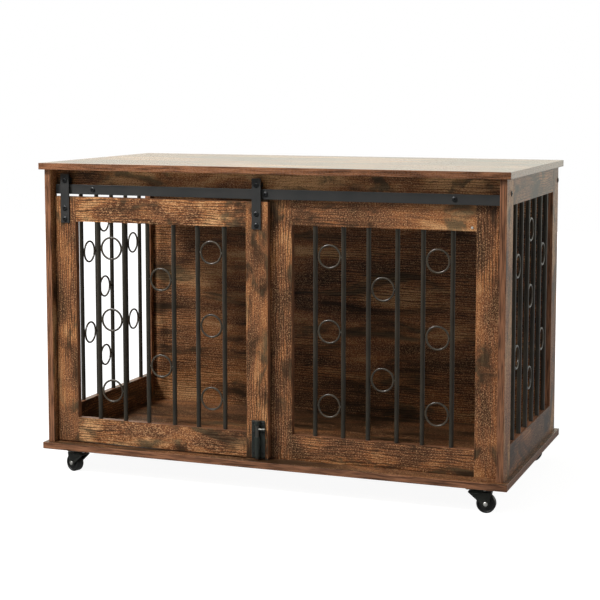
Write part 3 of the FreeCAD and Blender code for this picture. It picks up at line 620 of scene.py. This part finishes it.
latchOutline = roundedOutline(plateHigh[0] - plateLow[0], plateHigh[2] - plateLow[2], latchSize["corner"])
plateMiddle = np.array([latchX, plateHigh[1] - latchThick / 2, latchZ])
latchParts = [(slabSurface(latchOutline, plateMiddle, axisX, axisZ, latchThick, latchSize["edge"]), False)]
sweep = np.linspace(np.pi, 2 * np.pi, latchSize["barrelSteps"])
hat = np.concatenate([barrel * np.stack([np.cos(sweep), np.sin(sweep)], axis=1),
                      [(barrel, plateFront - latchY), (-barrel, plateFront - latchY)]])
for bottom, top in latchSize["guides"]:
    middle = np.array([latchX, latchY, (bottom + top) / 2])
    latchParts.append((slabSurface(hat, middle, axisX, axisY, top - bottom, latchSize["edge"]), False))
addPiece("latch-plate", latchParts, latchCoat, "door", ("latch_plate",))

screwProfile = np.array(latchSize["screwRows"]) * (mm, latchSize["screw"])
screwHeads = []
for sign in (-1, 1):
    for height in latchSize["screwHeights"]:
        centre = np.array([latchX + sign * latchSize["screwAcross"], plateFront, height])
        screwHead = turnedSurface(screwProfile, centre, -axisY, axisX, latchSize["screwSides"])
        screwHeads.append((screwHead, False))
addPiece("latch-screws", screwHeads, blackCoat, "door")

tall, nose, bend, heel = boltHigh[2] - boltLow[2], latchSize["nose"], latchSize["bend"], latchSize["heel"]
boltProfile = [(0, 0), (0, bolt - nose), (bend, bolt - bend), (nose, bolt),
               (tall - heel, bolt), (tall, bolt - heel), (tall, 0)]
knob = np.array(latchSize["knobRows"]) * mm + (boltHigh[0] - latchX, 0)
handleProfile = np.concatenate([[(0, 0), (0, latchSize["handle"])], knob])
boltFoot = np.array([latchX, latchY, boltLow[2]])
handlePlace = np.array([latchX, latchY, latchSize["handleHeight"]])
boltParts = [(turnedSurface(boltProfile, boltFoot, axisZ, axisX, latchSize["boltSides"]), False),
             (turnedSurface(handleProfile, handlePlace, axisX, axisY, latchSize["handleSides"]), False)]
addPiece("latch-bolt", boltParts, boltPlate, "latch_bolt", ("latch_bolt",))
print("barrel bolt")

# Swivel casters: plate with race and kingpin, pressed fork, rivet and wheel.
# Headings are in degrees, and rows are places along the axis and radii in mm.
casterSize = {
    "headings": {"front_left": 160.0, "front_right": 4.0, "back_left": 172.0, "back_right": 2.0},
    "trail": 18.0 * mm, "axleHeight": 20.5 * mm,
    "cheek": 2.0 * mm, "cheekEdge": 0.4 * mm, "cheekCut": 1.5 * mm, "boss": 8.0 * mm, "bossArc": (192, 368),
    "bossSteps": 22, "forkWidth": 24.6 * mm, "crownTop": 45.5 * mm, "crownUnder": 43.0 * mm,
    "crownFront": 30.0 * mm, "crownBack": 20.0 * mm,
    "bridgeInset": (1.0 * mm, 0.2 * mm), "bridgeCorner": 2.0 * mm,
    "dishRows": ((0, 0), (0, 16.8), (0.5, 17.7), (1.2, 18.0), (2.0, 17.7), (2.5, 16.8), (2.5, 0)),
    # from the cheek's outer face, outward is negative
    "rivetRows": ((-1.8, 0), (-1.7, 2.2), (-1.1, 4.0), (-0.2, 4.75), (0, 4.75), (0, 3.0)), "rivetSides": 40,
    "wheelRows": ((-9.5, 3.05), (-9.5, 6.2), (-9.0, 6.8), (-7.6, 7.4), (-7.3, 8.2),
                  (-7.3, 14.4), (-7.6, 15.2), (-9.0, 15.9), (-9.5, 16.6),
                  (-9.4, 18.0), (-8.8, 19.3), (-7.8, 20.1), (-6.4, 20.5), (-2.0, 20.5)),
    "wheelSides": 72,
    "plate": 46.0 * mm, "plateThick": 2.5 * mm, "plateCorner": 5.0 * mm, "plateEdge": 0.5 * mm,
    "raceUnder": 45.8 * mm,
    "raceRows": ((0, 0), (0, 16.2), (0.5, 16.9), (1.2, 17.0), (2.6, 16.2), (4.4, 14.4),
                 (6.7, 13.0), (6.7, 0)),
    "pinUnder": 41.1 * mm, "pinSides": 36,
    "pinRows": ((0, 0), (0, 5.6), (0.4, 6.3), (0.9, 6.5), (1.6, 6.5), (1.6, 4.0), (6.0, 4.0), (6.0, 0)),
    "screwAcross": 18.5 * mm, "screwSides": 28,
    "screwRows": ((-0.4, 0), (-0.4, 3.4), (0.5, 3.4), (1.3, 2.6), (1.5, 1.3), (1.0, 1.0), (0.9, 0)),
}
trail, axleHeight, forkWidth = casterSize["trail"], casterSize["axleHeight"], casterSize["forkWidth"]
crownTop, crownUnder = casterSize["crownTop"], casterSize["crownUnder"]
crownFront, crownBack = casterSize["crownFront"], casterSize["crownBack"]
cheekThick, cheekEdge, cheekCut = casterSize["cheek"], casterSize["cheekEdge"], casterSize["cheekCut"]
plateSize, plateThick = casterSize["plate"], casterSize["plateThick"]
dish, wheelHalf, race, pin, screw = (np.array(casterSize[key]) * mm for key in (
    "dishRows", "wheelRows", "raceRows", "pinRows", "screwRows"))
wheel = mirrored(wheelHalf)
rivet = mirrored(np.array(casterSize["rivetRows"]) * mm - (forkWidth / 2, 0))

# cheek outline: a straight top with cut corners, tapering to a round end about the axle
arc = np.radians(np.linspace(*casterSize["bossArc"], casterSize["bossSteps"]))
roundEnd = casterSize["boss"] * np.stack([np.cos(arc), np.sin(arc)], axis=1) + (trail, axleHeight)
cheek = np.concatenate([roundEnd, [(crownFront, crownTop - cheekCut), (crownFront - cheekCut, crownTop),
                                   (cheekCut - crownBack, crownTop), (-crownBack, crownTop - cheekCut)]])
insetLong, insetWide = casterSize["bridgeInset"]
bridge = roundedOutline(crownFront + crownBack - insetLong, forkWidth - insetWide,
                        casterSize["bridgeCorner"])
plateOutline = roundedOutline(plateSize, plateSize, casterSize["plateCorner"])

low, high = cornersOf("caster_plates")
pivotX = {"left": low[0] + plateSize / 2, "right": high[0] - plateSize / 2}
pivotY = {"front": low[1] + plateSize / 2, "back": high[1] - plateSize / 2}
baseUnder = cornersOf("base_board")[0][2]
plateParts, screwParts = [], []
for corner, heading in casterSize["headings"].items():
    turn = math.radians(heading)
    ahead = np.array([math.cos(turn), math.sin(turn), 0.0])
    aside = np.array([-math.sin(turn), math.cos(turn), 0.0])
    deep, wide = corner.split("_")
    pivot = np.array([pivotX[wide], pivotY[deep], 0.0])
    axle = pivot + ahead * trail + axisZ * axleHeight

    forkParts = []
    for sign in (-1, 1):
        middle = pivot + aside * sign * (forkWidth - cheekThick) / 2
        forkParts.append((slabSurface(cheek, middle, ahead, axisZ, cheekThick, cheekEdge), False))
    middle = pivot + ahead * (crownFront - crownBack) / 2 + axisZ * (crownTop + crownUnder) / 2
    forkParts.append((slabSurface(bridge, middle, ahead, aside, crownTop - crownUnder, cheekEdge), False))
    forkParts.append((turnedSurface(dish, pivot + axisZ * crownUnder, axisZ, axisX), False))
    addPiece(f"caster-{corner}-fork", forkParts, forkCoat,
             f"caster_{corner}_swivel", (f"caster_{corner}_fork",))
    rivetGrid = turnedSurface(rivet, axle, aside, axisZ, casterSize["rivetSides"])
    addPiece(f"caster-{corner}-axle", [(rivetGrid, False)], zincPlate,
             f"caster_{corner}_swivel", (f"caster_{corner}_axle",))
    wheelGrid = turnedSurface(wheel, axle, aside, axisZ, casterSize["wheelSides"])
    addPiece(f"caster-{corner}-wheel", [(wheelGrid, True)], wheelNylon,
             f"caster_{corner}_wheel", (f"caster_{corner}_wheel",))

    middle = pivot + axisZ * (baseUnder - plateThick / 2)
    plate = slabSurface(plateOutline, middle, axisX, axisY, plateThick, casterSize["plateEdge"])
    plateParts.append((plate, False))
    plateParts.append((turnedSurface(race, pivot + axisZ * casterSize["raceUnder"], axisZ, axisX), False))
    pinFoot = pivot + axisZ * casterSize["pinUnder"]
    plateParts.append((turnedSurface(pin, pinFoot, axisZ, axisX, casterSize["pinSides"]), False))
    for signX in (-1, 1):
        for signY in (-1, 1):
            seat = pivot + casterSize["screwAcross"] * (signX * axisX + signY * axisY)
            seat += axisZ * (baseUnder - plateThick)
            screwParts.append((turnedSurface(screw, seat, -axisZ, axisX, casterSize["screwSides"]), False))
addPiece("caster-plates", plateParts, forkCoat, "cabinet", ("caster_plates",))
addPiece("caster-screws", screwParts, zincPlate, "cabinet")
print("casters:", len(casterSize["headings"]))

# Stage, light and camera
stageLook = {"floor": 12.0, "paper": "#d8d7d4", "paperRoughness": 0.9, "camera": 1.3,
             "near": 0.7, "far": 1.5, "nearLit": 0.72, "farLit": 1.0,
             "frontMirror": 0.09, "floorMirror": 0.5, "floorReach": (-1.2, 1.2),
             "skyMirror": 1.4, "skyReach": (-0.1, 0.8), "ambient": 0.15, "roomTint": "#fbfdf1"}
bpy.ops.mesh.primitive_plane_add(size=stageLook["floor"], location=(0, 0, 0))
floor = bpy.context.object
floor.name = "studio-floor"


def mirrorLevel(tree, vector, reach, most):
    # what a satin surface reflects: dim in front of the crate, bright behind it
    part = addNode(tree, "ShaderNodeSeparateXYZ", links={0: vector})
    levels = {1: reach[0], 2: reach[1], 3: stageLook["frontMirror"], 4: most}
    return addNode(tree, "ShaderNodeMapRange", levels, {"Value": part.outputs[1]}).outputs[0]


# a paper sweep: white to the camera, fully lit further out, with a faint shadow close to the crate
paper, paperTree, paperShader, paperCoords = newMaterial("mattWhitePaper")
paperShader.inputs["Base Color"].default_value = linear(stageLook["paper"])
paperShader.inputs["Roughness"].default_value = stageLook["paperRoughness"]
rays = addNode(paperTree, "ShaderNodeLightPath")
paperPlace = paperCoords.outputs["Object"]
distance = addNode(paperTree, "ShaderNodeVectorMath", {"operation": "LENGTH"}, {0: paperPlace})
lit = addNode(paperTree, "ShaderNodeMapRange",
              {1: stageLook["near"], 2: stageLook["far"], 3: stageLook["nearLit"], 4: stageLook["farLit"]},
              {"Value": distance.outputs["Value"]})
direct = addNode(paperTree, "ShaderNodeMath", {"operation": "MAXIMUM"},
                 {0: rays.outputs["Is Camera Ray"], 1: rays.outputs["Is Transmission Ray"]})
seen = addNode(paperTree, "ShaderNodeMath", {"operation": "MULTIPLY"},
               {0: direct.outputs[0], 1: lit.outputs[0]})
glowing = addNode(paperTree, "ShaderNodeMath", {"operation": "MAXIMUM"},
                  {0: seen.outputs[0], 1: rays.outputs["Is Glossy Ray"]})
floorLevel = mirrorLevel(paperTree, paperPlace, stageLook["floorReach"], stageLook["floorMirror"])
power = addNode(paperTree, "ShaderNodeMix", {2: stageLook["camera"]},
                {0: rays.outputs["Is Glossy Ray"], 3: floorLevel})
glow = addNode(paperTree, "ShaderNodeEmission", {"Color": white}, {"Strength": power.outputs[0]})
sheet = addNode(paperTree, "ShaderNodeMixShader",
                links={0: glowing.outputs[0], 1: paperShader.outputs[0], 2: glow.outputs[0]})
paperTree.links.new(sheet.outputs[0], paperTree.nodes["Material Output"].inputs["Surface"])
floor.data.materials.append(paper)

# the room: white to the camera, a dim even light on the crate, and a gradient in its reflections
world = bpy.data.worlds.new("studio")
scene.world = world
world.use_nodes = True
room = world.node_tree
room.nodes.clear()
direction = addNode(room, "ShaderNodeTexCoord")
roomRays = addNode(room, "ShaderNodeLightPath")
skyLevel = mirrorLevel(room, direction.outputs["Generated"], stageLook["skyReach"], stageLook["skyMirror"])
reflected = addNode(room, "ShaderNodeMix", {2: stageLook["ambient"]},
                    {0: roomRays.outputs["Is Glossy Ray"], 3: skyLevel})
plain = addNode(room, "ShaderNodeMath", {"operation": "MAXIMUM"},
                {0: roomRays.outputs["Is Camera Ray"], 1: roomRays.outputs["Is Transmission Ray"]})
shown = addNode(room, "ShaderNodeMix", {3: 1.0}, {0: plain.outputs[0], 2: reflected.outputs[0]})
tint = addNode(room, "ShaderNodeMix", {"data_type": "RGBA", 6: linear(stageLook["roomTint"]), 7: white},
               {0: plain.outputs[0]})
sky = addNode(room, "ShaderNodeBackground", links={"Color": tint.outputs[2], "Strength": shown.outputs[0]})
addNode(room, "ShaderNodeOutputWorld", links={"Surface": sky.outputs[0]})

softBoxes = {  # place, target, width, height, watts
    "keyLeft": ((-1.7, -1.85, 2.7), (-0.15, -0.25, 0.4), 0.7, 0.7, 137.0),
    "fillFront": ((-0.6, -2.9, 2.4), (-0.1, 0.0, 0.4), 1.6, 1.0, 22.0),
    "sideRight": ((2.4, -0.5, 1.8), (0.5, 0.0, 0.35), 1.0, 1.0, 15.0),
    "topBack": ((0.0, 1.2, 2.6), (0.0, 0.1, 0.7), 2.0, 1.2, 8.0),
}
for name, (place, target, width, height, watts) in softBoxes.items():
    lamp = bpy.data.lights.new(name, "AREA")
    lamp.shape = "RECTANGLE"
    lamp.size = width
    lamp.size_y = height
    lamp.energy = watts
    stand = bpy.data.objects.new(name, lamp)
    scene.collection.objects.link(stand)
    stand.location = place
    aim = np.array(target) - np.array(place)
    tilt = math.acos(-aim[2] / np.linalg.norm(aim))
    stand.rotation_euler = (tilt, 0, math.atan2(aim[1], aim[0]) - math.pi / 2)

lens = {"focal": 90.426, "sensor": 36.0, "shiftX": -0.0028, "shiftY": -0.10,
        "place": (1.22765, -3.30064, 0.89255), "tilt": 84.226, "turn": 20.571}
camera = bpy.data.cameras.new("camera")
camera.sensor_width = lens["sensor"]
camera.lens = lens["focal"]
camera.shift_x = lens["shiftX"]
camera.shift_y = lens["shiftY"]
tripod = bpy.data.objects.new("camera", camera)
scene.collection.objects.link(tripod)
tripod.location = lens["place"]
tripod.rotation_euler = (math.radians(lens["tilt"]), 0, math.radians(lens["turn"]))
scene.camera = tripod
scene.view_settings.view_transform = "Standard"
print("stage, light and camera")
